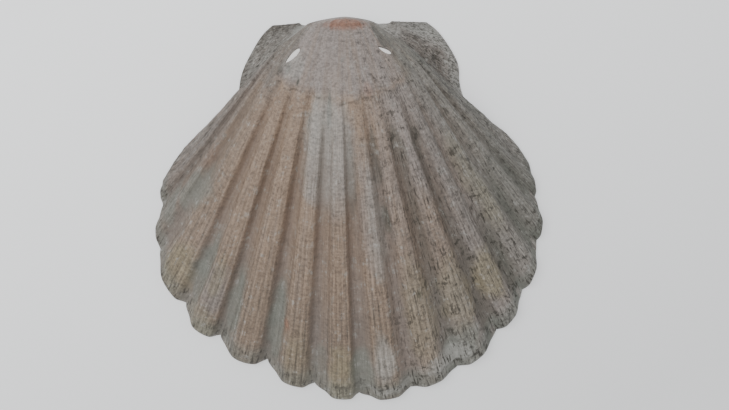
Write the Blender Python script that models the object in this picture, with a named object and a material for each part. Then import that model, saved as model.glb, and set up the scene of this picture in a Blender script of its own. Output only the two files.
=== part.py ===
"""Lower valve of a great scallop, lying on its margin and hinge line with its ribbed side up.

The shell is one piece. Its form follows the growth of a real valve: every older margin is a
smaller copy of the present one, turned about the hinge line.
Frame: +X along the hinge, +Y from the lower margin towards the hinge, +Z up, metres.
"""
import math

import bmesh
import bpy
from mathutils import Vector

MM = 0.001

# Growth of the valve. A stage of 1 is the present margin, and smaller stages are older ones.
TURN_PER_LOG = 0.66         # radians of turn about the hinge for each natural log of growth
WIDTH_AT_START = 0.04       # share of the width that the youngest shell already has
EAR_POWER = 0.75            # the foot of each ear widens more slowly than the disc
HINGE_AT_START = 0.5        # head start of the hinge line, which is long from early on
UMBO_STAGE = 0.112          # stage at which the outside turns down behind the hinge line
CAVITY_STAGE = 0.200        # stage at which the hollow inside ends in its back wall
LIP_STAGE = 0.975           # the edge rounds off from this stage to the margin

# Place of the beak, where the middle of the shell crosses the hinge line.
BEAK_X = -1.39 * MM
BEAK_Y = 54.55 * MM

# Wall and relief.
DISC_WALL = 2.1 * MM
MARGIN_WALL = 1.3 * MM
EAR_WALL = 1.1 * MM
RIB_HEIGHT = 2.3 * MM
RIB_FADE = (0.15, 0.60)     # stages between which the ribs rise out of the smooth umbo
UMBO_INFILL = 0.13          # how much the wall thickens inwards at the sides of the umbo
UMBO_BULGE = 2.0 * MM       # how far the umbo swells behind the hinge line
HINGE_PLATE = 3.0 * MM      # depth of the flat hinge plate under the umbo
PLATE_FADE = 9.0 * MM       # distance from the hinge over which that extra depth fades

# Where the grooves meet the margin, in mm from the beak: across, and away from the hinge.
NOTCHES = [
    (-30.3, 21.5), (-53.4, 46.3), (-53.6, 53.0), (-54.6, 65.7), (-47.4, 81.4), (-37.5, 91.0),
    (-23.7, 98.4), (-9.9, 105.7), (3.2, 108.9), (18.4, 107.5), (32.3, 101.7), (44.0, 91.1),
    (51.8, 79.6), (56.2, 65.2), (56.2, 52.7), (54.6, 43.3), (35.7, 23.7)]
LEFT_EAR = [(-20.4, 0.0), (-23.4, 3.0), (-26.6, 8.4), (-29.4, 14.8), (-30.3, 21.5)]
RIGHT_EAR = [(35.7, 23.7), (34.6, 18.8), (34.4, 13.0), (31.8, 7.2), (28.6, 2.6), (25.6, 0.0)]
LEFT_FLANK = [(-30.3, 21.5), (-38.3, 29.3), (-47.9, 38.2), (-53.4, 46.3)]
RIGHT_FLANK = [(54.6, 43.3), (49.7, 36.2), (42.5, 31.0), (35.7, 23.7)]

# Each rib from left to right: share of the full rib height, how far its end stands out in mm,
# and where its crest lies between its two notches.
RIBS = [
    (0.45, 0.2, 0.5), (0.35, 1.0, 0.5), (0.9, 2.4, 0.64), (1.0, 2.9, 0.64), (1.0, 3.3, 0.62),
    (1.0, 2.9, 0.64), (1.0, 2.2, 0.62), (1.0, 1.9, 0.56), (1.0, 1.1, 0.46), (1.0, 1.8, 0.40),
    (1.0, 1.6, 0.38), (0.95, 1.5, 0.36), (0.8, 1.3, 0.36), (0.5, 0.3, 0.40)]

# Worn holes beside the umbo: centre in mm from the beak, length and width in mm, turn in degrees.
HOLES = [("hole_cutter_left", (-13.9, 10.2), (5.4, 1.5), 46.0),
         ("hole_cutter_right", (12.7, 9.3), (4.2, 1.2), -27.0)]
HOLE_SIDES = 12

# Mesh: columns in each stretch of the margin, and the stages of the rows.
EAR_COLUMNS = 6
FLANK_COLUMNS = 6
RIB_COLUMNS = 6
LOW_RIB_COLUMNS = 4
PATCH = 0.6                 # half width in stations over which a direction is evened
SHARED_STAGES = [0.34, 0.41, 0.48, 0.55, 0.62, 0.69, 0.76, 0.83, 0.89, 0.94, 0.975, 0.992, 1.0]
OUTER_STAGES = [0.145, 0.185, 0.23, 0.28] + SHARED_STAGES
INNER_STAGES = [0.224, 0.249, 0.276, 0.306] + SHARED_STAGES
CLOSING_ROWS = 3

LAST_NOTCH = len(NOTCHES)   # stations: 0 to 1 left ear, 1 to LAST_NOTCH disc, then right ear


def smooth(low, high, value):
    """Rise smoothly from 0 at low to 1 at high."""
    t = min(max((value - low) / (high - low), 0.0), 1.0)
    return t * t * (3.0 - 2.0 * t)


def curve_through(points, t):
    """A point of the smooth curve through the given points, for t from 0 to 1."""
    place = t * (len(points) - 1)
    i = min(int(place), len(points) - 2)
    f = place - i
    before = Vector(points[max(i - 1, 0)])
    start = Vector(points[i])
    end = Vector(points[i + 1])
    after = Vector(points[min(i + 2, len(points) - 1)])
    return (start + 0.5 * f * (end - before)
            + f * f * (before - 2.5 * start + 2.0 * end - 0.5 * after)
            + f * f * f * (1.5 * (start - end) + 0.5 * (after - before)))


def margin(station, lobed):
    """Margin of the shell in metres from the beak: across, and away from the hinge."""
    if station <= 1.0:
        return curve_through(LEFT_EAR, max(station, 0.0)) * MM
    if station >= LAST_NOTCH:
        return curve_through(RIGHT_EAR, min(station - LAST_NOTCH, 1.0)) * MM
    i = min(int(station), LAST_NOTCH - 1)
    f = station - i
    if i == 1:
        return curve_through(LEFT_FLANK, f) * MM
    if i == LAST_NOTCH - 1:
        return curve_through(RIGHT_FLANK, f) * MM
    start = Vector(NOTCHES[i - 1])
    end = Vector(NOTCHES[i])
    along = (end - start).normalized()
    outwards = Vector((-along.y, along.x))
    lobe = RIBS[i - 2][1] * math.sin(math.pi * f) ** 0.7 * lobed
    return (start.lerp(end, f) + outwards * lobe) * MM


def growth_point(station, stage, turn, lobed=1.0):
    """A point of the growth surface at a stage, turned about the hinge line."""
    edge = margin(station, lobed)
    disc_width = (stage + WIDTH_AT_START) / (1.0 + WIDTH_AT_START)
    ear_width = stage ** EAR_POWER
    hinge_width = (stage + HINGE_AT_START) / (1.0 + HINGE_AT_START)
    from_end = min(station, LAST_NOTCH + 1 - station)
    width = hinge_width + (ear_width - hinge_width) * smooth(0.0, 1.0, from_end)
    width += (disc_width - width) * smooth(0.9, 2.0, from_end)
    across = edge.x * width
    reach = edge.y * stage
    return Vector((across, -reach * math.cos(turn), reach * math.sin(turn)))


def turn_at(stage):
    return TURN_PER_LOG * math.log(1.0 / stage)


def outward(station, stage):
    """Outward direction of the growth surface, evened over a small patch.

    Near the umbo it turns into the plane of that stage's margin, so that the tightly rolled
    wall thickens without running into itself.
    """
    low = max(station - PATCH, 0.0)
    high = min(station + PATCH, LAST_NOTCH + 1.0)
    older = stage * 0.97
    newer = stage * 1.03
    turn = turn_at(stage)
    across = growth_point(high, stage, turn, 0.0) - growth_point(low, stage, turn, 0.0)
    along = (growth_point(station, newer, turn_at(newer), 0.0)
             - growth_point(station, older, turn_at(older), 0.0))
    straight = along.cross(across).normalized()
    outer = Vector((0.0, -math.cos(turn), math.sin(turn)))
    sideways = Vector((across.dot(outer), 0.0, 0.0)) * -1.0
    raised = outer * across.x
    if raised.dot(outer) < 0.0:
        raised *= smooth(0.0, 1.0, min(station, LAST_NOTCH + 1 - station))
    in_plane = (sideways + raised).normalized()
    return in_plane.lerp(straight, smooth(0.22, 0.45, stage)).normalized()


def rib_at(station):
    """Height of the ribs from 0 in a groove to 1 on a full rib."""
    if station <= 2.0 or station >= LAST_NOTCH - 1:
        return 0.0
    height, lobe, crest = RIBS[int(station) - 2]
    leaning = (station - int(station)) ** (math.log(0.5) / math.log(crest))
    c = 0.5 - 0.5 * math.cos(2.0 * math.pi * leaning)
    return height * c * c * (3.0 - 2.0 * c)


def rib_height(station, stage):
    return RIB_HEIGHT * smooth(RIB_FADE[0], RIB_FADE[1], stage) * rib_at(station)


def wall(station, stage):
    """Wall thickness, thin on the ears and towards the margin, rounded off at the lip."""
    disc_share = smooth(1.0, 2.0, min(station, LAST_NOTCH + 1 - station))
    disc = MARGIN_WALL + (DISC_WALL - MARGIN_WALL) * smooth(0.9, 0.3, stage)
    ear = EAR_WALL * smooth(0.0, 0.40, stage)
    full = ear + (disc - ear) * disc_share
    past_lip = max(stage - LIP_STAGE, 0.0) / (1.0 - LIP_STAGE)
    return full * math.sqrt(max(1.0 - past_lip * past_lip, 0.0))


def corrugation(stage):
    """Share of the rib height that also shows on the inside."""
    return 0.12 + 0.68 * smooth(0.55, 1.0, stage)


def outside_point(station, stage):
    lift = wall(station, stage) + rib_height(station, stage)
    lift -= rib_height(station, stage) * (1.0 - corrugation(1.0)) * smooth(LIP_STAGE, 1.0, stage)
    return growth_point(station, stage, turn_at(stage)) + outward(station, stage) * lift


def plate_depth(stage):
    """Depth of the flat hinge plate, deepest under the umbo and gone at the ear's corner."""
    return HINGE_PLATE * (1.0 - stage ** 3) * (0.55 + 0.45 * smooth(0.6, 0.1, stage))


def inside_point(station, stage):
    point = growth_point(station, stage, turn_at(stage))
    point += outward(station, stage) * rib_height(station, stage) * corrugation(stage)
    point.x *= 1.0 - UMBO_INFILL * smooth(0.40, CAVITY_STAGE, stage)
    near_hinge = math.exp(-margin(station, 0.0).y * stage / PLATE_FADE)
    point.y -= plate_depth(stage) * near_hinge
    if station in (0.0, LAST_NOTCH + 1.0):
        point.z = 0.0
    return point


def back_edge(station, stage):
    """Lower back edge of the hinge line, straight below the outside of the shell."""
    point = outside_point(station, stage)
    point.z = 0.0
    return point


def stations():
    """Stations of the columns from the left end of the hinge line to the right end."""
    counts = [EAR_COLUMNS, FLANK_COLUMNS]
    counts += [RIB_COLUMNS if share > 0.6 else LOW_RIB_COLUMNS for share, lobe, crest in RIBS]
    counts += [FLANK_COLUMNS, EAR_COLUMNS]
    places = [i + j / count for i, count in enumerate(counts) for j in range(count)]
    return places + [float(len(counts))]


def closing_line(columns, left, right, y):
    """Points along the hinge line, one for each column, closer together in the middle."""
    last = len(columns) - 1
    shares = [c / last + 0.8 * math.sin(math.tau * c / last) / math.tau for c in range(last + 1)]
    return [Vector((left + (right - left) * share, y, 0.0)) for share in shares]


def outside_rows(columns):
    """Rows of the outside, from the hinge line behind the umbo to the margin."""
    arch = [outside_point(u, UMBO_STAGE) for u in columns]
    half_width = 0.5 * (arch[-1].x - arch[0].x)
    line = closing_line(columns, arch[0].x, arch[-1].x, back_edge(columns[0], UMBO_STAGE).y)
    for point in line:
        from_middle = (point.x - arch[0].x) / half_width - 1.0
        point.y += UMBO_BULGE * (1.0 - from_middle * from_middle)
    rows = [line]
    for r in range(1, CLOSING_ROWS):
        angle = (1.0 - r / CLOSING_ROWS) * 0.5 * math.pi
        row = []
        for start, end in zip(arch, line):
            rise = math.cos(angle)
            y = start.y + (end.y - start.y) * math.sin(angle)
            row.append(Vector((end.x + (start.x - end.x) * rise ** 3, y, start.z * rise)))
        rows.append(row)
    rows.append(arch)
    rows += [[outside_point(u, stage) for u in columns] for stage in OUTER_STAGES]
    return rows


def inside_rows(columns):
    """Rows of the inside, from the hinge plate up the back wall and out to the margin."""
    arch = [inside_point(u, CAVITY_STAGE) for u in columns]
    line = closing_line(columns, arch[0].x, arch[-1].x, arch[0].y)
    rows = [line]
    for r in range(1, CLOSING_ROWS - 1):
        t = (r / (CLOSING_ROWS - 1)) ** 0.4
        row = [start.lerp(end, t) for start, end in zip(line, arch)]
        for point, start, end in zip(row, line, arch):
            point.x = start.x + (end.x - start.x) * t ** 6
        rows.append(row)
    rows.append(arch)
    rows += [[inside_point(u, stage) for u in columns] for stage in INNER_STAGES]
    return rows


def add_sheet(bm, rows, faces_up):
    """Lay a grid of faces over rows of points."""
    last_row = len(rows) - 1
    last_column = len(rows[0]) - 1
    sheet = bmesh.ops.create_grid(bm, x_segments=last_column, y_segments=last_row, size=0.5)
    for vert in sheet["verts"]:
        column = round((vert.co.x + 0.5) * last_column)
        row = round((vert.co.y + 0.5) * last_row)
        vert.co = rows[row][column]
    if not faces_up:
        faces = list({face for vert in sheet["verts"] for face in vert.link_faces})
        bmesh.ops.reverse_faces(bm, faces=faces)


def build_valve():
    columns = stations()
    outside = outside_rows(columns)
    inside = inside_rows(columns)
    hinge_stages = [UMBO_STAGE] * (CLOSING_ROWS + 1) + OUTER_STAGES
    for r, stage in enumerate(hinge_stages):
        left = back_edge(columns[0], stage)
        right = back_edge(columns[-1], stage)
        outside[r] = [left] + outside[r] + [right]
    whole_inside = [outside[0]]
    for r, row in enumerate(inside):
        whole_inside.append([outside[r + 1][0]] + row + [outside[r + 1][-1]])
    whole_inside[-1] = outside[-1]
    bm = bmesh.new()
    add_sheet(bm, outside, faces_up=False)
    add_sheet(bm, whole_inside, faces_up=True)
    bmesh.ops.translate(bm, verts=bm.verts[:], vec=(BEAK_X, BEAK_Y, 0.0))
    bmesh.ops.remove_doubles(bm, verts=bm.verts[:], dist=0.000002)
    bmesh.ops.dissolve_degenerate(bm, edges=bm.edges[:], dist=0.000002)
    bmesh.ops.triangulate(bm, faces=bm.faces[:], quad_method="FIXED")
    bmesh.ops.recalc_face_normals(bm, faces=bm.faces[:])
    return bm


def shell_material():
    material = bpy.data.materials.new("weathered_shell")
    material.use_nodes = True
    shader = material.node_tree.nodes["Principled BSDF"]
    shader.inputs["Base Color"].default_value = (0.30, 0.24, 0.20, 1.0)
    shader.inputs["Roughness"].default_value = 0.6
    shader.inputs["Metallic"].default_value = 0.0
    return material


def add_object(name, bm):
    mesh = bpy.data.meshes.new(name)
    bm.to_mesh(mesh)
    bm.free()
    thing = bpy.data.objects.new(name, mesh)
    bpy.context.scene.collection.objects.link(thing)
    return thing


def add_hole(valve, name, centre, size, turn):
    """Cut a slit-shaped hole straight down through the steep flank beside the umbo."""
    bm = bmesh.new()
    bmesh.ops.create_cone(bm, cap_ends=True, cap_tris=False, segments=HOLE_SIDES,
                          radius1=0.5 * MM, radius2=0.5 * MM, depth=40.0 * MM)
    bmesh.ops.scale(bm, vec=(size[0], size[1], 1.0), verts=bm.verts[:])
    cutter = add_object(name, bm)
    cutter.location = (BEAK_X + centre[0] * MM, BEAK_Y - centre[1] * MM, 10.0 * MM)
    cutter.rotation_euler = (0.0, 0.0, math.radians(turn))
    cutter.hide_render = True
    cutter.display_type = "WIRE"
    cut = valve.modifiers.new(name, "BOOLEAN")
    cut.operation = "DIFFERENCE"
    cut.solver = "EXACT"
    cut.object = cutter


def main():
    for old in list(bpy.data.objects):
        bpy.data.objects.remove(old, do_unlink=True)
    valve = add_object("scallop_valve", build_valve())
    valve.data.materials.append(shell_material())
    valve.data.shade_smooth()
    valve.data.set_sharp_from_angle(angle=math.radians(50.0))
    for name, centre, size, turn in HOLES:
        add_hole(valve, name, centre, size, turn)


main()
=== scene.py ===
import math
import bmesh
import bpy
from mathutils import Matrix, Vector, noise


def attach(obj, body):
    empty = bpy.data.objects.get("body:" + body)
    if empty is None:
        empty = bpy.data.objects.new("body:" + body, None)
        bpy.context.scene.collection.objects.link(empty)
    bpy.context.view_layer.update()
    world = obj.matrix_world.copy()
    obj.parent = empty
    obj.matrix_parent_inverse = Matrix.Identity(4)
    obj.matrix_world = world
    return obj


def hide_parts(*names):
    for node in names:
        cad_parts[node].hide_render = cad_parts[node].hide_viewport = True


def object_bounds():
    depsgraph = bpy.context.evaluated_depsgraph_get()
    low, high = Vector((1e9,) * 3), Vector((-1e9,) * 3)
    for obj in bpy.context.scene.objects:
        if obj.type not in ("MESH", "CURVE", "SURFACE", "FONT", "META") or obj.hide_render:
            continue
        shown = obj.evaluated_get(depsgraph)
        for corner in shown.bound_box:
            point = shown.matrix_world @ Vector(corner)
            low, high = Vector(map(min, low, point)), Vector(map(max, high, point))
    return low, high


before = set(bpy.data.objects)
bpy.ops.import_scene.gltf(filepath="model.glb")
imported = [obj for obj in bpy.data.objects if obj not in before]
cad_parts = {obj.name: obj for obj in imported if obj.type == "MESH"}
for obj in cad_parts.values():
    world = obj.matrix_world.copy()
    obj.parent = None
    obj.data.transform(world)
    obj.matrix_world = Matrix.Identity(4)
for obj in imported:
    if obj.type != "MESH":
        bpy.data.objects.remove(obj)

# The lower valve of a great scallop. Lengths in metres, outline points in mm from the beak.
# "Stage" runs from 0 at the beak to 1 at the present edge, "station" runs along the edge:
# 0 to 1 left ear, then flank and ribs, and the last station is the far end of the right ear.

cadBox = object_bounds()
mm = 0.001

growth = {
    "turnPerLog": 0.66,      # turn about the hinge for each natural log of growth
    "widthAtStart": 0.04,
    "earPower": 0.75,
    "hingeAtStart": 0.5,
    "umboStage": 0.112,      # where the outside turns down behind the hinge
    "cavityStage": 0.20,     # where the hollow ends in its back wall
    "lipStage": 0.984,
    "beak": (-1.39 * mm, 54.55 * mm),
}

rim = {
    "notches": [(-30.3, 21.5), (-53.4, 46.3), (-53.6, 53.0), (-54.6, 65.7), (-47.4, 81.4),
                (-37.5, 91.0), (-23.7, 98.4), (-9.9, 105.7), (3.2, 108.9), (18.4, 107.5),
                (32.3, 101.7), (44.0, 91.1), (51.8, 79.6), (56.2, 65.2), (56.2, 52.7),
                (54.6, 43.3), (35.7, 23.7)],
    "leftEar": [(-20.4, 0.0), (-23.4, 3.0), (-26.6, 8.4), (-29.4, 14.8), (-30.3, 21.5)],
    "rightEar": [(35.7, 23.7), (34.6, 18.8), (34.4, 13.0), (31.8, 7.2), (28.6, 2.6), (25.6, 0.0)],
    "leftFlank": [(-30.3, 21.5), (-38.3, 29.3), (-47.9, 38.2), (-53.4, 46.3)],
    "rightFlank": [(54.6, 43.3), (49.7, 36.2), (42.5, 31.0), (35.7, 23.7)],
}
lastNotch = len(rim["notches"])

# Ribs from left to right: height share, how far the end stands out in mm, and between which
# shares of the way from notch to notch the two sides rise and fall
ribs = [(0.45, 0.2, (0.10, 0.45), (0.60, 0.90)), (0.60, 1.0, (0.25, 0.55), (0.70, 0.98)),
        (0.90, 2.4, (0.12, 0.50), (0.84, 0.98)), (1.00, 2.9, (0.20, 0.48), (0.84, 0.98)),
        (1.00, 3.3, (0.12, 0.44), (0.82, 0.97)), (1.00, 2.9, (0.20, 0.48), (0.82, 0.96)),
        (1.00, 2.2, (0.24, 0.50), (0.84, 0.97)), (1.00, 1.9, (0.16, 0.42), (0.72, 0.98)),
        (1.00, 1.1, (0.06, 0.32), (0.56, 0.90)), (1.00, 1.8, (0.00, 0.24), (0.48, 0.84)),
        (1.00, 1.6, (-0.05, 0.19), (0.43, 0.80)), (0.95, 1.5, (-0.06, 0.17), (0.41, 0.78)),
        (0.80, 1.3, (-0.08, 0.14), (0.38, 0.74)), (0.50, 0.3, (-0.02, 0.20), (0.42, 0.74))]

wallSet = {
    "disc": 2.1 * mm, "margin": 1.3 * mm, "ear": 1.1 * mm, "rib": 2.3 * mm,
    "ribFade": (0.15, 0.60), "umboBulge": 2.0 * mm, "umboInfill": 0.13,
    "hingePlate": 3.0 * mm, "plateFade": 9.0 * mm, "patch": 0.6,
    "ligamentPit": 1.6 * mm, "pitHalfWidths": (1.2 * mm, 3.8 * mm),  # at its back and front
}

meshSet = {
    "earColumns": 34, "flankColumns": 40, "ribColumns": 36, "lowRibColumns": 24,
    "growthRows": 98, "lipRows": 8, "domeRows": 12,
    "plateRows": 8, "backWallRows": 12,
}


def ramp(low, high, value):
    t = min(max((value - low) / (high - low), 0.0), 1.0)
    return t * t * (3.0 - 2.0 * t)


def mix(a, b, share):
    return a + (b - a) * share


def wander(x, y=0.0, z=0.0):  # smooth noise, from -1 to 1
    return noise.noise(Vector((x, y, z)))


def curveThrough(points, t):
    place = t * (len(points) - 1)
    i = min(int(place), len(points) - 2)
    f = place - i
    before, start = Vector(points[max(i - 1, 0)]), Vector(points[i])
    end, after = Vector(points[i + 1]), Vector(points[min(i + 2, len(points) - 1)])
    return (start + 0.5 * f * (end - before)
            + f * f * (before - 2.5 * start + 2.0 * end - 0.5 * after)
            + f * f * f * (1.5 * (start - end) + 0.5 * (after - before)))


def edgePoint(station, lobed):
    if station <= 1.0:
        return curveThrough(rim["leftEar"], max(station, 0.0)) * mm
    if station >= lastNotch:
        return curveThrough(rim["rightEar"], min(station - lastNotch, 1.0)) * mm
    i = min(int(station), lastNotch - 1)
    f = station - i
    if i == 1:
        return curveThrough(rim["leftFlank"], f) * mm
    if i == lastNotch - 1:
        return curveThrough(rim["rightFlank"], f) * mm
    start, end = Vector(rim["notches"][i - 1]), Vector(rim["notches"][i])
    along = (end - start).normalized()
    lobe = ribs[i - 2][1] * math.sin(math.pi * f) ** 0.7 * lobed
    return (start.lerp(end, f) + Vector((-along.y, along.x)) * lobe) * mm


class Column:  # all about one station of the edge that doesn't change with the stage
    def __init__(self, station):
        self.station = station
        self.fromEnd = min(station, lastNotch + 1 - station)
        self.hingeEnd = self.fromEnd < 1e-6
        patch = wallSet["patch"]
        self.edge = edgePoint(station, 1.0)
        self.plain = edgePoint(station, 0.0)
        self.lowStation = max(station - patch, 0.0)
        self.highStation = min(station + patch, lastNotch + 1.0)
        self.low = edgePoint(self.lowStation, 0.0)
        self.high = edgePoint(self.highStation, 0.0)
        self.isRib = 2.0 < station < lastNotch - 1
        self.crown = ribShape(station)


def ribShape(station):
    # Cross-section of the ribs, from 0 in the grooves to 1 on a full crown
    height = 0.0
    for rib in range(int(station) - 3, int(station)):
        if 0 <= rib < len(ribs):
            share, lobe, rise, fall = ribs[rib]
            f = station - 2.0 - rib
            side = ramp(rise[0], rise[1], f) * (1.0 - ramp(fall[0], fall[1], f))
            height = max(height, share * side)
    return height


def growthPoint(station, edge, stage, turn):
    disc = (stage + growth["widthAtStart"]) / (1.0 + growth["widthAtStart"])
    ear = stage ** growth["earPower"]
    hinge = (stage + growth["hingeAtStart"]) / (1.0 + growth["hingeAtStart"])
    fromEnd = min(station, lastNotch + 1 - station)
    width = mix(hinge, ear, ramp(0.0, 1.0, fromEnd))
    width = mix(width, disc, ramp(0.9, 2.0, fromEnd))
    reach = edge.y * stage
    return Vector((edge.x * width, -reach * math.cos(turn), reach * math.sin(turn)))


def turnAt(stage):
    return growth["turnPerLog"] * math.log(1.0 / stage)


def outwardAt(column, stage):  # near the umbo it lies in the plane of that stage's edge
    turn, older, newer = turnAt(stage), stage * 0.97, stage * 1.03
    across = (growthPoint(column.highStation, column.high, stage, turn)
              - growthPoint(column.lowStation, column.low, stage, turn))
    along = (growthPoint(column.station, column.plain, newer, turnAt(newer))
             - growthPoint(column.station, column.plain, older, turnAt(older)))
    straight = along.cross(across).normalized()
    outer = Vector((0.0, -math.cos(turn), math.sin(turn)))
    raised = outer * across.x
    if across.x < 0.0:
        raised *= ramp(0.0, 1.0, column.fromEnd)
    inPlane = (Vector((-across.dot(outer), 0.0, 0.0)) + raised).normalized()
    return inPlane.lerp(straight, ramp(0.22, 0.45, stage)).normalized()


def wallAt(column, stage):
    disc = mix(wallSet["margin"], wallSet["disc"], ramp(0.9, 0.3, stage))
    ear = wallSet["ear"] * ramp(0.0, 0.40, stage)
    full = mix(ear, disc, ramp(1.0, 2.0, column.fromEnd))
    pastLip = max(stage - growth["lipStage"], 0.0) / (1.0 - growth["lipStage"])
    return full * math.sqrt(max(1.0 - pastLip * pastLip, 0.0))


def ribHeight(column, stage):
    return wallSet["rib"] * ramp(wallSet["ribFade"][0], wallSet["ribFade"][1], stage) * column.crown


def corrugation(stage):  # share of the rib height that also shows inside
    return 0.12 + 0.68 * ramp(0.55, 1.0, stage)


relief = {
    "ribletsPerRib": 8, "riblet": 0.10 * mm, "ring": 0.05 * mm, "swell": 0.20 * mm,
    "steps": [(0.295, 0.35 * mm), (0.655, 0.10 * mm), (0.80, 0.10 * mm), (0.962, 0.30 * mm)],
    "stepWaves": [(0.006, 1.7, 40.0), (0.003, 4.3, 90.0)],  # height, waves along the edge, shift
    "earRidge": 0.24 * mm,
}


def stepEdge(place, station):  # old growth stops wander a little along the shell
    edge = place
    for height, along, shift in relief["stepWaves"]:
        edge += height * math.sin(along * station + shift * place)
    return edge


def reliefAt(column, stage):
    # Fine relief of the outside: riblets, growth rings, old growth stops and soft swells
    u, s = column.station, stage
    quiet = 1.0 - ramp(0.97, 1.0, s)
    lift = relief["swell"] * wander(u * 1.3, s * 7.0, 3.1) * ramp(0.05, 0.3, s)
    rings = wander(s * 62.0, u * 0.35, 7.7)
    lift += relief["ring"] * rings * ramp(0.28, 0.45, s)
    for place, drop in relief["steps"]:
        edge = stepEdge(place, u)
        lift += drop * (1.0 - ramp(edge - 0.005, edge + 0.005, s)) * (1.0 - ramp(edge, edge - 0.10, s))
    if column.isRib:
        phase = relief["ribletsPerRib"] * u
        strength = relief["riblet"] * ramp(0.38, 0.75, s) * (0.15 + 0.85 * column.crown)
        lift += strength * math.cos(2.0 * math.pi * phase) * (0.75 + 0.5 * wander(u * 7.0, s * 9.0))
    else:
        ridges = wander(u * 24.0, s * 3.0, 9.0) + 0.8 * wander(u * 7.0, s * 30.0, 2.0)
        lift += relief["earRidge"] * ridges * ramp(0.2, 0.5, s)
    return lift * quiet


def outsidePoint(column, stage):
    rib = ribHeight(column, stage)
    lift = wallAt(column, stage) + rib * (1.0 - (1.0 - corrugation(1.0)) * ramp(growth["lipStage"], 1.0, stage))
    lift += reliefAt(column, stage) * min(1.0, wallAt(column, stage) / (0.5 * mm))
    return growthPoint(column.station, column.edge, stage, turnAt(stage)) + outwardAt(column, stage) * lift


def insidePoint(column, stage):
    point = growthPoint(column.station, column.edge, stage, turnAt(stage))
    inward = ribHeight(column, stage) * corrugation(stage)
    point += outwardAt(column, stage) * inward
    point.x *= 1.0 - wallSet["umboInfill"] * ramp(0.40, growth["cavityStage"], stage)
    depth = wallSet["hingePlate"] * (1.0 - stage ** 3) * (0.55 + 0.45 * ramp(0.6, 0.1, stage))
    point.y -= depth * math.exp(-column.plain.y * stage / wallSet["plateFade"])
    if column.hingeEnd:
        point.z = 0.0
    return point


def stationsAlong():
    counts = [meshSet["earColumns"], meshSet["flankColumns"]]
    counts += [meshSet["ribColumns"] if rib[0] > 0.6 else meshSet["lowRibColumns"] for rib in ribs]
    counts += [meshSet["flankColumns"], meshSet["earColumns"]]
    return [i + j / count for i, count in enumerate(counts) for j in range(count)] + [float(len(counts))]


def hingeLine(count, left, right, y):
    last = count - 1
    shares = [c / last + 0.8 * math.sin(math.tau * c / last) / math.tau for c in range(count)]
    return [Vector((mix(left, right, share), y, 0.0)) for share in shares]


def outsideRows(columns, stages):
    first = growth["umboStage"]
    arch = [outsidePoint(column, first) for column in columns]
    halfWidth = 0.5 * (arch[-1].x - arch[0].x)
    line = hingeLine(len(columns), arch[0].x, arch[-1].x, arch[0].y)
    for point in line:
        fromMiddle = (point.x - arch[0].x) / halfWidth - 1.0
        point.y += wallSet["umboBulge"] * (1.0 - fromMiddle * fromMiddle)
    rows = [(0.0, line)]
    for r in range(1, meshSet["domeRows"]):
        angle = (1.0 - r / meshSet["domeRows"]) * 0.5 * math.pi
        rise = math.cos(angle)
        row = [Vector((mix(end.x, start.x, rise ** 3), mix(start.y, end.y, math.sin(angle)), start.z * rise))
               for start, end in zip(arch, line)]
        rows.append((first * rise, row))
    rows.append((first, arch))
    for stage in stages:
        rows.append((stage, [outsidePoint(column, stage) for column in columns]))
    return rows


def insideRows(columns, stages, outerLine):
    cavity = growth["cavityStage"]
    arch = [insidePoint(column, cavity) for column in columns]
    foot = hingeLine(len(columns), arch[0].x, arch[-1].x, arch[0].y)
    rows = []
    for r in range(1, meshSet["plateRows"]):
        t = r / meshSet["plateRows"]
        row = [back.lerp(front, t) for back, front in zip(outerLine, foot)]
        for point in row:
            halfWidth = mix(wallSet["pitHalfWidths"][0], wallSet["pitHalfWidths"][1], t)
            pit = ramp(1.0, 0.55, abs(point.x) / halfWidth) * ramp(0.0, 0.35, t)
            point.z += wallSet["ligamentPit"] * pit
        rows.append((0.0, row))
    rows.append((0.0, foot))
    for r in range(1, meshSet["backWallRows"]):
        t = (r / meshSet["backWallRows"]) ** 0.8
        row = []
        for start, end in zip(foot, arch):
            point = start.lerp(end, t)
            point.x = mix(start.x, end.x, t ** 6)
            row.append(point)
        rows.append((cavity * t, row))
    rows.append((cavity, arch))
    for stage in stages:
        rows.append((stage, [insidePoint(column, stage) for column in columns]))
    return rows


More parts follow.
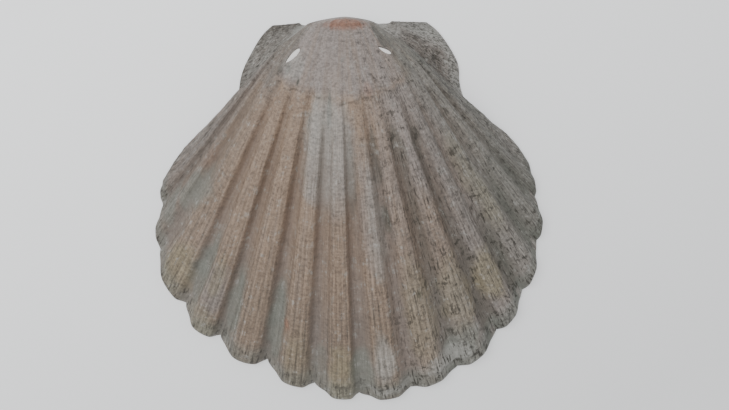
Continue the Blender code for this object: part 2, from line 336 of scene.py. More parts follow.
# Where the colour changes over the outside. Each spot: kind, station and stage of its middle,
# its half widths in stations and stages, lean of its long side, strength
spots = [
    ("flake", 3.95, 0.74, 0.50, 0.11, -3.2, 0.6), ("flake", 3.4, 0.90, 0.5, 0.06, 0.0, 0.6),
    ("flake", 5.15, 0.86, 0.26, 0.13, 0.0, 0.8), ("flake", 6.14, 0.88, 0.22, 0.12, 0.0, 0.8),
    ("flake", 7.12, 0.87, 0.24, 0.13, 0.0, 0.8), ("flake", 9.1, 0.93, 0.3, 0.07, 0.0, 0.7),
    ("flake", 8.14, 0.93, 0.2, 0.07, 0.0, 0.6), ("flake", 11.2, 0.93, 0.5, 0.05, 0.0, 0.7),
    ("olive", 4.65, 0.92, 0.4, 0.09, 0.0, 0.8), ("olive", 5.55, 0.96, 0.4, 0.05, 0.0, 0.6),
    ("olive", 7.7, 0.93, 0.3, 0.10, 0.0, 0.5), ("olive", 8.65, 0.94, 0.35, 0.09, 0.0, 0.8),
    ("olive", 10.5, 0.80, 0.4, 0.15, 0.0, 0.45), ("olive", 11.4, 0.82, 0.4, 0.12, 0.0, 0.5),
    ("olive", 12.3, 0.84, 0.4, 0.08, 0.0, 0.8), ("olive", 13.2, 0.60, 0.3, 0.12, 0.0, 0.35),
    ("olive", 13.3, 0.72, 0.3, 0.10, 0.0, 0.5), ("olive", 5.6, 0.82, 0.2, 0.06, 0.0, 0.5),
    ("chalk", 9.55, 0.89, 0.22, 0.07, 0.0, 0.6), ("chalk", 10.9, 0.948, 0.6, 0.028, 0.0, 0.6),
    ("chalk", 9.6, 0.97, 0.5, 0.012, 0.0, 0.5), ("chalk", 9.75, 0.56, 0.30, 0.16, 0.0, 0.35),
    ("chalk", 8.3, 0.42, 1.25, 0.15, 0.0, 0.50), ("chalk", 7.8, 0.38, 0.9, 0.10, 0.0, 0.6),
    ("chalk", 5.4, 0.240, 0.9, 0.045, 0.0, 0.45),
    ("rust", 7.38, 0.84, 0.10, 0.012, 0.0, 0.7), ("rust", 10.3, 0.278, 0.30, 0.018, 0.0, 0.30),
    ("rust", 3.75, 0.66, 0.3, 0.06, 0.0, 0.15), ("rust", 9.3, 0.106, 2.7, 0.022, 0.0, 1.0),
    ("dark", 8.15, 0.33, 0.16, 0.06, 0.0, 0.8), ("dark", 9.1, 0.47, 0.16, 0.11, 0.0, 0.6),
    ("dark", 10.05, 0.44, 0.20, 0.07, 0.0, 0.7), ("dark", 10.1, 0.57, 0.14, 0.04, 0.0, 0.9),
    ("dark", 11.0, 0.45, 0.3, 0.08, 0.0, 0.6), ("dark", 11.8, 0.45, 0.3, 0.07, 0.0, 0.7),
    ("dark", 4.7, 0.27, 0.25, 0.015, 0.0, 0.8), ("dark", 6.15, 0.277, 0.14, 0.009, 0.0, 1.0),
    ("dark", 5.2, 0.255, 0.3, 0.014, 0.0, 0.9), ("dark", 13.4, 0.16, 1.2, 0.06, 0.0, 0.8),
    ("dark", 4.6, 0.20, 0.4, 0.06, 0.0, 0.5), ("dark", 7.25, 0.36, 0.12, 0.03, 0.0, 0.5),
    ("dark", 3.5, 0.74, 0.6, 0.14, -2.0, 0.35), ("dark", 12.6, 0.16, 0.5, 0.05, 0.0, 1.0),
    ("dark", 12.65, 0.90, 0.25, 0.10, 0.0, 0.5), ("dark", 10.55, 0.755, 0.08, 0.012, 0.0, 0.9),
    ("grey", 8.3, 0.42, 1.25, 0.16, 0.0, 0.6), ("grey", 9.8, 0.55, 0.7, 0.16, 0.0, 0.6),
    ("grey", 7.45, 0.14, 3.7, 0.17, 0.0, 1.0), ("grey", 10.2, 0.2, 2.3, 0.09, 0.0, 0.55),
    ("grey", 5.6, 0.87, 0.35, 0.10, 0.0, 0.8), ("grey", 5.4, 0.235, 0.6, 0.05, 0.0, 0.7),
]


def spotShare(kind, station, stage):
    total = 0.0
    for number, (name, u, s, ru, rs, lean, strength) in enumerate(spots):
        if name == kind and abs(stage - s) < 1.4 * rs and abs(station - u) < 1.4 * ru + abs(lean) * rs:
            x = (station - u - lean * (stage - s)) / ru
            y = (stage - s) / rs
            away = math.hypot(x, y) + 0.3 * wander(station * 2.6, stage * 26.0, number)
            total = max(total, strength * (1.0 - ramp(0.55, 1.15, away)))
    return total


# Where each part of the colouring begins and where it is full, in stations or in stages
areas = {
    "ear": (1.3, 0.9), "leftRibs": (2.0, 2.8), "rightRibs": (16.0, 15.2),
    "cap": (0.31, 0.27), "capLeft": (4.0, 4.8), "capRight": (13.2, 12.4),
    "besideLeft": (5.3, 4.5), "leftUpTo": (0.42, 0.30), "besideRight": (12.2, 13.0), "rightUpTo": (0.42, 0.28),
    "leftFlank": (4.4, 2.6), "leftmost": (5.0, 4.4), "flankFade": (1.0, 0.6),
    "rightSide": (9.4, 11.6), "shadedFarRight": (12.5, 15.5), "rightEar": (8.0, 9.0),
    "grooved": (0.30, 0.55), "rightGrooved": (0.30, 0.5),
    "deepGrooves": (8.8, 9.6), "greyGrooves": (0.55, 0.9),
    "shadeOffGrooves": (11.4, 12.8), "shadeOffUpTo": (0.80, 0.66), "shadeFrom": (0.16, 0.36),
    "tanFrom": (0.50, 0.60), "tanUpTo": (0.80, 0.70), "tanWidth": (1.0, 0.4),
    "tanDarkFrom": (0.66, 0.84), "tanDarkLeft": (4.4, 5.4), "tanDarkRight": (10.6, 9.6),
    "lip": (0.935, 0.985), "brightLip": (8.5, 7.5), "creaseShadeFrom": (0.15, 0.30),
    "speckled": (8.8, 11.0), "speckledLip": (0.92, 0.97),
    "youngEar": (0.45, 0.28), "leftEarRim": (1.0, 0.93),
    "rightEarRim": (0.80, 0.92), "rightEarEnd": (17.38, 17.70),
    "flakedLip": (0.925, 0.965), "flakedLeft": (1.0, 2.0), "flakedRight": (17.0, 16.0),
    "greenRight": (12.0, 14.0),
}
tanRib = 11.2  # the right side keeps its tan about this station


def within(area, value):
    return ramp(areas[area][0], areas[area][1], value)


def earPale(station, stage):
    # The left ear is evenly weathered, the right one pale along the hinge and the rim
    young = within("youngEar", stage)
    if station < 9.0:
        return max(young, 0.35) * within("leftEarRim", stage)
    return max(within("rightEarEnd", station), within("rightEarRim", stage), young)


def toneMask(station, stage):
    # Grey share, darkness, groove share and speckle share; the darkness and the groove share are partly painted
    # shade
    ear = within("ear", min(station, lastNotch + 1 - station))
    cap = within("cap", stage)
    side = within("rightSide", station)
    flank = within("leftFlank", station)
    beside = max(within("besideLeft", station) * within("leftUpTo", stage),
                 within("besideRight", station) * within("rightUpTo", stage))
    ribbed = within("leftRibs", station) * within("rightRibs", station)
    hollow = 1.0 - ribShape(station)
    rightGroove = hollow * within("rightGrooved", stage) * ribbed
    shadeOffGroove = within("shadeOffGrooves", station) * within("shadeOffUpTo", stage)
    onEar = within("rightEar", station)  # which ear: 0 left, 1 right

    # The groove colour is partly dirt and partly painted shade: on the left the grooves are only dark beside
    # the falling side of each rib, the side turned away from the light
    f = station - int(station)
    shadedSide = 1.0 - ramp(0.02, 0.20, f) * ramp(0.55, 0.45, f)
    grooved = hollow * within("grooved", stage) * ribbed
    grooved *= mix(mix(0.45, 1.0, shadedSide), 1.0, within("deepGrooves", station))

    grey = mix(0.95, 0.70, rightGroove) * side * (1.0 - cap) + 0.8 * within("greyGrooves", stage) * grooved
    grey = max(grey, spotShare("grey", station, stage), 0.8 * ear, 0.7 * flank, 0.7 * beside)
    grey = max(grey, 0.95 * cap * within("capLeft", station) * within("capRight", station))
    tan = within("tanFrom", stage) * within("tanUpTo", stage) * within("tanWidth", abs(station - tanRib))
    grey *= 1.0 - 0.6 * tan

    # Painted shade: the right side, turned away from the light, is darkened, most in its grooves and more again
    # on the far right; over the shade-off grooves this painted shade lies on the crowns instead of in the
    # grooves
    dark = mix(0.15 + 0.24 * shadeOffGroove, 0.74 - 0.74 * shadeOffGroove, rightGroove) * side
    dark += 0.22 * within("shadedFarRight", station)
    dark = max(dark, 0.30 * flank * within("flankFade", stage), 0.30 * within("leftmost", station))
    tanDark = within("tanDarkFrom", stage) * within("tanDarkLeft", station) * within("tanDarkRight", station)
    dark = max(dark, 0.25 * tanDark)
    dark = max(dark * within("shadeFrom", stage), 0.55 * beside)
    dark = mix(dark, mix(mix(0.84, 0.50, onEar), 0.0, earPale(station, stage)), ear)
    # Painted shade in the creases where the ears join the disc
    for seam, width, share in ((lastNotch, 0.30, 0.10), (1.0, 0.35, 0.06)):  # where the ears join
        dark += share * ramp(width, 0.0, abs(station - seam)) * within("creaseShadeFrom", stage)
    dark = max(dark, spotShare("dark", station, stage))
    lipShare = (1.0 - ear) * (1.0 - 0.9 * hollow * within("brightLip", station))
    dark += 0.40 * within("lip", stage) * lipShare

    speckle = 0.15 + 0.65 * within("speckled", station) + 0.7 * within("speckledLip", stage)
    speckle += 0.45 * max(flank, beside)
    speckle = mix(min(speckle, 1.0), mix(0.40, 0.80, onEar), ear)
    return (grey, min(dark, 1.0), grooved * (1.0 - 0.6 * shadeOffGroove), min(speckle, 1.0))


def stainMask(station, stage):
    # Shares of the flaked, olive, chalky and rusty places
    kinds = ("flake", "olive", "chalk", "rust")
    flake, olive, chalk, rust = [spotShare(kind, station, stage) for kind in kinds]
    ear = within("ear", min(station, lastNotch + 1 - station))
    lip = within("flakedLip", stage) * within("flakedLeft", station) * within("flakedRight", station)
    flake = max(flake, 0.5 * lip, 0.40 * within("greenRight", station) * (1.0 - ear))
    chalk = max(chalk, 0.95 * ear * earPale(station, stage))
    return (flake, olive, chalk, rust)


# What the masks say inside the shell and on the walls of the worn holes
plainMasks = {"toneMask": (0.9, 0.1, 0.0, 0.5), "stainMask": (0.0, 0.0, 0.3, 0.0)}


def laySheet(bm, rows, stations, faceUp, slot, growthMap, address, masks):
    # A grid of faces laid over rows of points, with its growth map: across, and stage
    lastRow, lastColumn = len(rows) - 1, len(rows[0][1]) - 1
    sheet = bmesh.ops.create_grid(bm, x_segments=lastColumn, y_segments=lastRow, size=0.5)
    place = {}
    for vert in sheet["verts"]:
        column = round((vert.co.x + 0.5) * lastColumn)
        row = round((vert.co.y + 0.5) * lastRow)
        place[vert] = (stations[column] / (lastNotch + 1.0), rows[row][0])
        vert[address[0]], vert[address[1]] = row, column
        for layer, paint in masks:
            vert[layer] = paint(stations[column], rows[row][0])
        vert.co = rows[row][1][column]
    faces = list({face for vert in sheet["verts"] for face in vert.link_faces})
    for face in faces:
        face.material_index = slot
        face.smooth = True
        for loop in face.loops:
            loop[growthMap].uv = place[loop.vert]
    if not faceUp:
        bmesh.ops.reverse_faces(bm, faces=faces)
    return sheet["verts"]


def buildValve():
    stations = stationsAlong()
    columns = [Column(station) for station in stations]
    rowCount = meshSet["growthRows"]
    lip = growth["lipStage"]
    first = growth["umboStage"]
    stages = [mix(first, lip, r / rowCount) for r in range(1, rowCount + 1)]
    for r in range(1, meshSet["lipRows"] + 1):
        stages.append(mix(lip, 1.0, math.sin(0.5 * math.pi * r / meshSet["lipRows"])))
    outside = outsideRows(columns, stages)

    def backEdge(column, stage):
        point = outsidePoint(column, max(stage, first))
        point.z = 0.0
        return point

    whole = []
    for stage, row in outside:
        whole.append((stage, [backEdge(columns[0], stage)] + row + [backEdge(columns[-1], stage)]))
    wholeStations = [0.0] + stations + [float(lastNotch + 1)]

    # The inside has half the columns and rows, and its border is then matched to the outside's
    segments = (len(whole) - 1) // 2
    innerCount = segments - meshSet["plateRows"] - meshSet["backWallRows"]
    cavity = growth["cavityStage"]
    innerStages = [mix(cavity, 1.0, math.sin(0.5 * math.pi * r / innerCount) ** 0.9)
                   for r in range(1, innerCount + 1)]
    inner = insideRows(columns[::2], innerStages, outside[0][1][::2])
    innerWhole = [(0.0, whole[0][1][:1] + outside[0][1][::2] + whole[0][1][-1:])]
    for r, (stage, row) in enumerate(inner):
        border = whole[2 * (r + 1)][1]
        innerWhole.append((stage, border[:1] + row + border[-1:]))
    innerWhole[-1] = (1.0, whole[-1][1][:1] + outside[-1][1][::2] + whole[-1][1][-1:])
    innerStations = [0.0] + stations[::2] + [float(lastNotch + 1)]

    bm = bmesh.new()
    growthMap = bm.loops.layers.uv.new("growthMap")
    address = [bm.verts.layers.int.new(name) for name in ("row", "column")]
    masks = [(bm.verts.layers.float_color.new(name), paint)
             for name, paint in (("toneMask", toneMask), ("stainMask", stainMask))]
    laySheet(bm, whole, wholeStations, False, 0, growthMap, address, masks)
    plain = [(layer, lambda station, stage, shares=plainMasks[layer.name]: shares) for layer, paint in masks]
    inner = laySheet(bm, innerWhole, innerStations, True, 1, growthMap, address, plain)
    innerRim = list({edge for vert in inner for edge in vert.link_edges if edge.is_boundary})
    cut = bmesh.ops.subdivide_edges(bm, edges=innerRim, cuts=1)
    for vert in [piece for piece in cut["geom_inner"] if isinstance(piece, bmesh.types.BMVert)]:
        ends = [edge.other_vert(vert) for edge in vert.link_edges if edge.is_boundary]
        row = sum(end[address[0]] for end in ends)
        column = sum(max(2 * end[address[1]] - 1, 0) for end in ends) // 2
        vert.co = whole[row][1][min(column, len(wholeStations) - 1)]
    for name in ("row", "column"):
        bm.verts.layers.int.remove(bm.verts.layers.int[name])
    beak = growth["beak"]
    bmesh.ops.translate(bm, verts=bm.verts[:], vec=(beak[0], beak[1], 0.0))
    bmesh.ops.remove_doubles(bm, verts=bm.verts[:], dist=0.000004)
    bmesh.ops.dissolve_degenerate(bm, edges=bm.edges[:], dist=0.000002)
    bmesh.ops.triangulate(bm, faces=[face for face in bm.faces if len(face.verts) > 4])
    openEdges = sum(1 for edge in bm.edges if len(edge.link_faces) != 2)
    print("valve mesh:", len(bm.faces), "faces,", openEdges, "open edges, volume",
          round(bm.calc_volume() * 1e6, 2), "cm3")
    return bm


def addObject(name, bm):
    mesh = bpy.data.meshes.new(name)
    bm.to_mesh(mesh)
    bm.free()
    thing = bpy.data.objects.new(name, mesh)
    bpy.context.scene.collection.objects.link(thing)
    return thing


# Worn holes beside the umbo: centre and size in mm, turn in degrees
holes = [{"centre": (-13.9, 10.2), "size": (5.8, 1.8), "turn": 46.0},
         {"centre": (12.7, 9.3), "size": (4.2, 1.3), "turn": -27.0}]
holeSet = {"taper": 0.35, "uneven": 0.10, "sides": 28, "cutDepth": 40.0 * mm, "cutMiddle": 10.0 * mm}


def wearHole(valve, hole, number):
    bm = bmesh.new()
    bmesh.ops.create_cone(bm, cap_ends=True, segments=holeSet["sides"], radius1=0.5 * mm, radius2=0.5 * mm,
                          depth=holeSet["cutDepth"])
    bmesh.ops.scale(bm, vec=(hole["size"][0], hole["size"][1], 1.0), verts=bm.verts[:])
    for vert in bm.verts:
        angle = math.atan2(vert.co.y, vert.co.x)
        vert.co.y *= 1.0 + holeSet["taper"] * 2.0 * vert.co.x / (hole["size"][0] * mm)
        vert.co.xy *= 1.0 + holeSet["uneven"] * wander(2.0 * math.cos(angle), 2.0 * math.sin(angle), number)
    for name, shares in plainMasks.items():
        layer = bm.verts.layers.float_color.new(name)
        for vert in bm.verts:
            vert[layer] = shares
    cutter = addObject("holeCutter%d" % number, bm)
    cutter.location = (growth["beak"][0] + hole["centre"][0] * mm,
                       growth["beak"][1] - hole["centre"][1] * mm, holeSet["cutMiddle"])
    cutter.rotation_euler = (0.0, 0.0, math.radians(hole["turn"]))
    cut = valve.modifiers.new("hole", "BOOLEAN")
    cut.operation = "DIFFERENCE"
    cut.solver = "EXACT"
    cut.object = cutter
    return cutter


def settle(piece, cutters):  # makes the modifiers' result the mesh, and drops the cutters
    graph = bpy.context.evaluated_depsgraph_get()
    result = bpy.data.meshes.new_from_object(piece.evaluated_get(graph))
    piece.modifiers.clear()
    piece.data = result
    result.name = piece.name
    for cutter in cutters:
        bpy.data.objects.remove(cutter, do_unlink=True)


def srgb(text):  # hex colour to linear
    values = [int(text[i:i + 2], 16) / 255.0 for i in (0, 2, 4)]
    return tuple(v / 12.92 if v <= 0.04045 else ((v + 0.055) / 1.055) ** 2.4 for v in values) + (1.0,)


def newMaterial(name):
    material = bpy.data.materials.new(name)
    material.use_nodes = True
    material.node_tree.nodes.clear()
    return material, material.node_tree


def addNode(tree, kind, inputs=None, out=0, **settings):
    # One node with its settings and links; gives back one of its outputs
    made = tree.nodes.new("ShaderNode" + kind)
    for name, value in settings.items():
        setattr(made, name, value)
    for socket, value in (inputs or {}).items():
        if isinstance(value, bpy.types.NodeSocket):
            tree.links.new(value, made.inputs[socket])
        else:
            made.inputs[socket].default_value = value
    return made.outputs[out] if len(made.outputs) else made


outsideLook = {
    "colours": {"tan": "937f6e", "grey": "928984", "groove": "7e7067", "dark": "54524a", "dirtAndShade": "36332c",
                "flake": "7a7e77", "olive": "8e846c", "chalk": "a2a19c", "rust": "936650"},
    "roundNoises": {                         # scale for each metre, detail, roughness
        "clouds": (55.0, 6.0, 0.62),         # 18 mm across
        "grain": (1300.0, 2.0, 0.7),         # 0.8 mm, drawn coarser than the real grains
        "pits": (430.0, 4.0, 0.7),           # mottling 2.3 mm across, with finer spots in it
    },
    "drawnNoises": {                         # for each station (13 mm) and stage (109 mm), detail, roughness
        "streaks": (26.0, 15.0, 3.0, 0.6),   # 0.5 mm by 7 mm
        "bands": (4.0, 5.0, 4.0, 0.65),      # 3 mm by 22 mm
        "rings": (1.6, 150.0, 3.0, 0.6),     # growth lines 0.7 mm apart
        "dashes": (30.0, 34.0, 2.0, 0.5),    # short dark dashes, 0.4 mm by 3 mm
        "flankLines": (64.0, 9.0, 3.0, 0.65),  # 0.5 mm apart on the wide flanks
        "capRays": (1.9, 3.0, 1.0, 0.5),     # wide faint rays of the cap
    },
    "levels": {                              # what is read, from low to high, and what that gives
        "greyBands": ("bands", 0.3, 0.7, -0.22, 0.22), "onCap": ("stage", 0.31, 0.27, 0.0, 1.0),
        "capTan": ("capRays", 0.46, 0.60, 0.0, -0.28), "grooveClouds": ("clouds", 0.3, 0.7, 0.30, 0.75),
        "stainEdge": ("clouds", 0.25, 0.55, 0.45, 1.0), "grown": ("stage", 0.42, 0.80, 0.0, 1.0),
        "leftRibs": ("station", 2.0, 3.4, 0.0, 1.0), "rightRibs": ("station", 16.0, 14.4, 0.0, 1.0),
        "gapStreaks": ("streaks", 0.35, 0.62, 0.0, 0.8), "gapBands": ("bands", 0.35, 0.6, 0.25, 1.0),
        "flankGrown": ("stage", 0.2, 0.45, 0.3, 1.0), "flankDark": ("flankLines", 0.48, 0.38, 0.0, 0.70),
        "flankPale": ("flankLines", 0.54, 0.62, 0.0, 0.60), "lipStep": ("station", 8.6, 9.4, 0.15, 1.0),
        "innerStep": ("station", 12.4, 11.6, 0.1, 0.75), "dashes": ("dashes", 0.57, 0.63, 0.0, 0.90),
        "pits": ("pits", 0.568, 0.63, 0.0, 0.90), "pitClouds": ("clouds", 0.4, 0.6, 0.3, 1.0),
        "glints": ("pits", 0.44, 0.36, 0.0, 1.0), "glintStreaks": ("streaks", 0.45, 0.6, 0.1, 0.6),
        "streaked": ("stage", 0.20, 0.50, 0.35, 1.0), "unevenStreaks": ("streaks", 0.25, 0.75, -0.30, 0.30),
        "unevenRings": ("rings", 0.3, 0.7, -0.14, 0.14), "unevenGrain": ("grain", 0.25, 0.75, -0.34, 0.34),
        "cloudy": ("clouds", 0.3, 0.7, -0.10, 0.10), "calm": ("groove", 0.1, 0.7, 1.0, 0.45),
        "pitDepth": ("pits", 0.58, 0.66, 0.0, -0.7),
    },
    "stepBelow": 0.0045, "stepWidths": (0.0050, 0.0015), "stepDrop": 0.35 * mm, "stepShadeShare": 0.7,
    "roughness": 0.68, "bump": 0.9, "bumpHeight": 0.16 * mm,
}


def weatheredOutside():
    # Worn calcite off a beach: matt and chalky, tan and lilac grey, with dirt kept between its riblets
    material, tree = newMaterial("weatheredCalciteOutside")
    look = outsideLook
    colour = {name: srgb(value) for name, value in look["colours"].items()}

    here = addNode(tree, "TexCoord", out=3)
    split = addNode(tree, "SeparateXYZ", {0: addNode(tree, "UVMap", uv_map="growthMap")}).node
    stage = split.outputs[1]
    station = addNode(tree, "Math", {0: split.outputs[0], 1: lastNotch + 1.0}, operation="MULTIPLY")
    tone = addNode(tree, "Attribute", attribute_name="toneMask")
    grey, dark, groove = addNode(tree, "SeparateColor", {0: tone}).node.outputs
    speckle = addNode(tree, "Attribute", out=3, attribute_name="toneMask")
    stain = addNode(tree, "Attribute", attribute_name="stainMask")
    flake, olive, chalk = addNode(tree, "SeparateColor", {0: stain}).node.outputs
    rust = addNode(tree, "Attribute", out=3, attribute_name="stainMask")

    # Noises: round ones, and ones drawn out along the shell's own growth directions
    read = {"station": station, "stage": stage, "groove": groove}
    for name, (scale, detail, rough) in look["roundNoises"].items():
        inputs = {"Vector": here, "Scale": scale, "Detail": detail, "Roughness": rough}
        read[name] = addNode(tree, "TexNoise", inputs)
    for name, (across, along, detail, rough) in look["drawnNoises"].items():
        u = addNode(tree, "Math", {0: station, 1: across}, operation="MULTIPLY")
        v = addNode(tree, "Math", {0: stage, 1: along}, operation="MULTIPLY")
        where = addNode(tree, "CombineXYZ", {0: u, 1: v})
        inputs = {"Vector": where, "Scale": 1.0, "Detail": detail, "Roughness": rough}
        read[name] = addNode(tree, "TexNoise", inputs)
    level = {}
    for name, (source, low, high, first, last) in look["levels"].items():
        level[name] = addNode(tree, "MapRange", {0: read[source], 1: low, 2: high, 3: first, 4: last})

    # Lilac grey on the right and on the young cap, over the tan
    capTan = addNode(tree, "Math", {0: level["onCap"], 1: level["capTan"]}, operation="MULTIPLY")
    greyShare = addNode(tree, "Math", {0: grey, 1: level["greyBands"]}, operation="ADD")
    greyShare = addNode(tree, "Math", {0: greyShare, 1: capTan}, operation="ADD")
    murk = addNode(tree, "Math", {0: read["clouds"], 1: read["bands"]}, operation="ADD")
    murk = addNode(tree, "MapRange", {0: murk, 1: 0.7, 2: 1.3, 3: 0.55, 4: 1.25})

    # Riblets, and the crowns of the ribs that carry them; beside the ribs they are finer and uneven
    phase = addNode(tree, "Math", {0: station, 1: math.tau * relief["ribletsPerRib"]}, operation="MULTIPLY")
    riblets = addNode(tree, "Math", {0: phase}, operation="COSINE")
    gaps = addNode(tree, "MapRange", {0: riblets, 1: -0.20, 2: -0.95})
    crown = addNode(tree, "Math", {0: 1.0, 1: groove}, operation="SUBTRACT")
    ribbed = addNode(tree, "Math", {0: level["leftRibs"], 1: level["rightRibs"]}, operation="MULTIPLY")
    onRibs = addNode(tree, "Math", {0: crown, 1: level["grown"]}, operation="MULTIPLY")
    onRibs = addNode(tree, "Math", {0: onRibs, 1: ribbed}, operation="MULTIPLY")
    beside = addNode(tree, "Math", {0: 1.0, 1: ribbed}, operation="SUBTRACT")
    beside = addNode(tree, "Math", {0: beside, 1: level["flankGrown"]}, operation="MULTIPLY")

    # Growth stops: a thin dark line under each step, painted shade of the step's edge
    stepShadeLines = 0.0
    for place, drop in relief["steps"]:
        edge = place + look["stepBelow"]
        for height, along, shift in relief["stepWaves"]:
            angle = addNode(tree, "Math", {0: station, 1: along, 2: shift * place}, operation="MULTIPLY_ADD")
            wave = addNode(tree, "Math", {0: angle}, operation="SINE")
            edge = addNode(tree, "Math", {0: wave, 1: height, 2: edge}, operation="MULTIPLY_ADD")
        past = addNode(tree, "Math", {0: stage, 1: edge}, operation="SUBTRACT")
        past = addNode(tree, "Math", {0: past}, operation="ABSOLUTE")
        line = addNode(tree, "MapRange", {0: past, 1: look["stepWidths"][0], 2: look["stepWidths"][1]})
        broken = {0: read["bands"], 1: 0.42, 2: 0.62, 4: drop / look["stepDrop"]}
        line = addNode(tree, "Math", {0: line, 1: addNode(tree, "MapRange", broken)}, operation="MULTIPLY")
        reach = level["lipStep"] if place > 0.9 else level["innerStep"]
        stepShadeLines = addNode(tree, "Math", {0: line, 1: reach, 2: stepShadeLines}, operation="MULTIPLY_ADD")

    # Colours laid over each other: each one's share is the product of what follows its name
    layers = [
        ("grey", greyShare), ("groove", groove, level["grooveClouds"]), ("dark", dark, murk),
        ("olive", olive, level["stainEdge"]), ("flake", flake, level["stainEdge"]),
        ("chalk", chalk, level["stainEdge"]), ("rust", rust, level["stainEdge"]),
        ("dirtAndShade", gaps, onRibs, level["gapStreaks"], level["gapBands"]),
        ("dirtAndShade", level["flankDark"], beside), ("chalk", level["flankPale"], beside),
        ("dirtAndShade", stepShadeLines, look["stepShadeShare"]), ("dirtAndShade", level["dashes"], speckle),
        # The glints are painted highlights, laid in the chalk colour
        ("dirtAndShade", level["pits"], speckle, level["pitClouds"]), ("chalk", level["glints"], level["glintStreaks"]),
    ]
    base = colour["tan"]
    for name, share, *factors in layers:
        for factor in factors:
            share = addNode(tree, "Math", {0: share, 1: factor}, operation="MULTIPLY")
        base = addNode(tree, "Mix", {0: share, 6: base, 7: colour[name]}, out=2, data_type="RGBA")

    # Uneven brightness, calmer in the grooves, which are smoother than the crowns
    uneven = addNode(tree, "Math", {0: level["unevenRings"], 1: level["unevenGrain"]}, operation="ADD")
    uneven = addNode(tree, "Math", {0: level["unevenStreaks"], 1: level["streaked"], 2: uneven},
                     operation="MULTIPLY_ADD")
    bright = addNode(tree, "Math", {0: level["cloudy"], 1: 1.0}, operation="ADD")
    bright = addNode(tree, "Math", {0: uneven, 1: level["calm"], 2: bright}, operation="MULTIPLY_ADD")
    base = addNode(tree, "VectorMath", {0: base, "Scale": bright}, operation="SCALE")

    # The finest relief: riblets, streaks, growth lines, grain and pits
    flankHeight = addNode(tree, "Math", {0: read["flankLines"], 1: 2.0}, operation="MULTIPLY")
    ribletHeight = addNode(tree, "Math", {0: riblets, 1: 0.5}, operation="MULTIPLY")
    height = level["pitDepth"]
    for part, share in ((ribletHeight, onRibs), (flankHeight, beside), (read["streaks"], 0.8),
                        (read["rings"], 0.5), (read["grain"], 0.5)):
        height = addNode(tree, "Math", {0: part, 1: share, 2: height}, operation="MULTIPLY_ADD")
    height = addNode(tree, "Math", {0: height, 1: level["calm"]}, operation="MULTIPLY")
    bump = addNode(tree, "Bump", {"Strength": look["bump"], "Distance": look["bumpHeight"], "Height": height})
    inputs = {"Base Color": base, "Roughness": look["roughness"], "Normal": bump}
    addNode(tree, "OutputMaterial", {0: addNode(tree, "BsdfPrincipled", inputs)})
    return material


insideLook = {
    "colours": {"cream": "cfc4b4", "rim": "9d8775", "scar": "bdb5a8", "stain": "b39c86"},
    "cloudScale": 60.0,  # soft clouds 17 mm across
    "rim": (0.80, 0.97), "rimShare": 0.85, "stainShare": 0.6,
    "scarMiddle": (0.008, 0.006, 0.0), "scarEdge": (17.5 * mm, 16.5 * mm), "scarShare": 0.75,
    "roughness": 0.36, "bump": 0.25, "bumpHeight": 0.1 * mm,
}


def smoothInside():
    # Porcelain-smooth calcite laid down in life: creamy with a soft sheen, browner at the rim,
    # with the round scar of the muscle
    material, tree = newMaterial("smoothCalciteInside")
    look = insideLook
    colour = {name: srgb(value) for name, value in look["colours"].items()}
    here = addNode(tree, "TexCoord", out=3)
    stage = addNode(tree, "SeparateXYZ", {0: addNode(tree, "UVMap", uv_map="growthMap")}, out=1)
    noiseSet = {"Vector": here, "Scale": look["cloudScale"], "Detail": 5.0, "Roughness": 0.6}
    clouds = addNode(tree, "TexNoise", noiseSet)
    wobble = addNode(tree, "MapRange", {0: clouds, 1: 0.3, 2: 0.7, 3: -0.05, 4: 0.05})
    edge = addNode(tree, "Math", {0: stage, 1: wobble}, operation="ADD")
    rimShare = addNode(tree, "MapRange", {0: edge, 1: look["rim"][0], 2: look["rim"][1], 4: look["rimShare"]})
    stainShare = addNode(tree, "MapRange", {0: clouds, 1: 0.45, 2: 0.75, 4: look["stainShare"]})
    flat = addNode(tree, "VectorMath", {0: here, 1: (1.0, 1.0, 0.0)}, operation="MULTIPLY")
    away = addNode(tree, "VectorMath", {0: flat, 1: look["scarMiddle"]}, out=1, operation="DISTANCE")
    scarShare = addNode(tree, "MapRange", {0: away, 1: look["scarEdge"][0], 2: look["scarEdge"][1],
                                           4: look["scarShare"]})
    base = colour["cream"]
    for name, share in (("stain", stainShare), ("scar", scarShare), ("rim", rimShare)):
        base = addNode(tree, "Mix", {0: share, 6: base, 7: colour[name]}, out=2, data_type="RGBA")
    bump = addNode(tree, "Bump", {"Strength": look["bump"], "Distance": look["bumpHeight"], "Height": clouds})
    inputs = {"Base Color": base, "Roughness": look["roughness"], "Normal": bump}
    addNode(tree, "OutputMaterial", {0: addNode(tree, "BsdfPrincipled", inputs)})
    return material


valve = addObject("scallopValve", buildValve())
valve.data.materials.append(weatheredOutside())
valve.data.materials.append(smoothInside())
print("valve materials: weathered outside, smooth inside")
cutters = [wearHole(valve, hole, number) for number, hole in enumerate(holes)]
settle(valve, cutters)
for name, shares in plainMasks.items():
    for item in valve.data.attributes[name].data:
        if min(item.color) > 0.999:  # a corner made by the cut, with no mask of its own
            item.color = shares

# The fine relief stands a little past the solid: bring the whole back inside its box
places = [vert.co for vert in valve.data.vertices]
own = [(min(place[i] for place in places), max(place[i] for place in places)) for i in range(3)]
fit = [(max(own[i][0], cadBox[0][i]), min(own[i][1], cadBox[1][i])) for i in range(3)]
for place in places:
    for i in range(3):
        share = (place[i] - own[i][0]) / (own[i][1] - own[i][0])
        place[i] = mix(fit[i][0], fit[i][1], share)
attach(valve, "root")
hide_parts("scallop_valve")
print("valve:", len(valve.data.polygons), "faces after the holes")
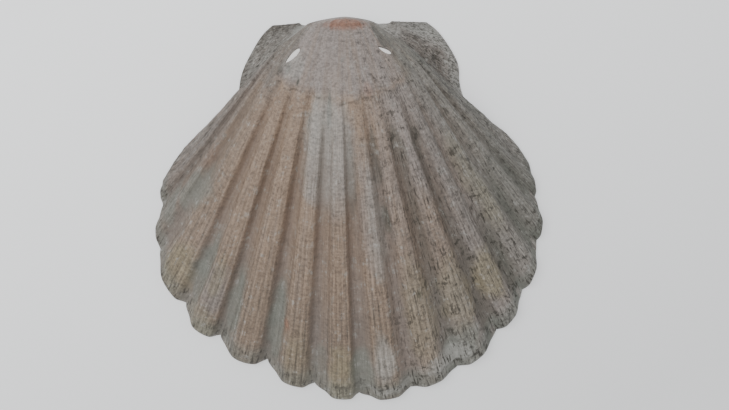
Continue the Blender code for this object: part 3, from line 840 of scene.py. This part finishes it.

# The floor glows evenly, and the fall adds painted light: brighter towards the upper left and darker towards
# the lower right, as if lit from the upper left
floorSet = {"size": 3.0, "height": -0.2 * mm, "roughness": 0.95,
            "color": "c8c9ca", "glow": "e2e4e6", "glowStrength": 0.88,
            "fall": (-1.5, 3.0, 0.0), "mostFall": 0.3}  # change of the glow for each metre, and in all
bm = bmesh.new()
bmesh.ops.create_grid(bm, x_segments=1, y_segments=1, size=floorSet["size"])
floor = addObject("floor", bm)
floor.location.z = floorSet["height"]
material, tree = newMaterial("paleLitPanel")
here = addNode(tree, "TexCoord", out=3)
fall = addNode(tree, "VectorMath", {0: here, 1: floorSet["fall"]}, out=1, operation="DOT_PRODUCT")
fall = addNode(tree, "Clamp", {0: fall, 1: -floorSet["mostFall"], 2: floorSet["mostFall"]})
glow = addNode(tree, "Math", {0: fall, 1: floorSet["glowStrength"]}, operation="ADD")
shader = addNode(tree, "BsdfPrincipled", {
    "Base Color": srgb(floorSet["color"]), "Roughness": floorSet["roughness"],
    "Emission Color": srgb(floorSet["glow"]), "Emission Strength": glow})
addNode(tree, "OutputMaterial", {0: shader})
floor.data.materials.append(material)

lightSet = {"place": (-0.85, 0.30, 1.6), "size": 1.2, "power": 15.0, "world": 0.75}
world = bpy.data.worlds.new("softStudio")
world.use_nodes = True
world.node_tree.nodes["Background"].inputs["Color"].default_value = (1.0, 1.0, 1.0, 1.0)
world.node_tree.nodes["Background"].inputs["Strength"].default_value = lightSet["world"]
bpy.context.scene.world = world
data = bpy.data.lights.new("windowLight", "AREA")
data.size = lightSet["size"]
data.energy = lightSet["power"]
light = bpy.data.objects.new("windowLight", data)
light.location = lightSet["place"]
light.rotation_euler = Vector(lightSet["place"]).to_track_quat("Z", "Y").to_euler()
bpy.context.scene.collection.objects.link(light)
print("floor and window light set")

cameraSet = {"place": (4.67 * mm, 1.02 * mm, 0.52), "turn": -1.23, "seenWidth": 215.5 * mm}
data = bpy.data.cameras.new("camera")
data.sensor_width = 36.0
data.lens = data.sensor_width * cameraSet["place"][2] / cameraSet["seenWidth"]
camera = bpy.data.objects.new("camera", data)
camera.location = cameraSet["place"]
camera.rotation_euler = (0.0, 0.0, math.radians(cameraSet["turn"]))
bpy.context.scene.collection.objects.link(camera)
bpy.context.scene.camera = camera
print("camera set")

bpy.context.view_layer.update()
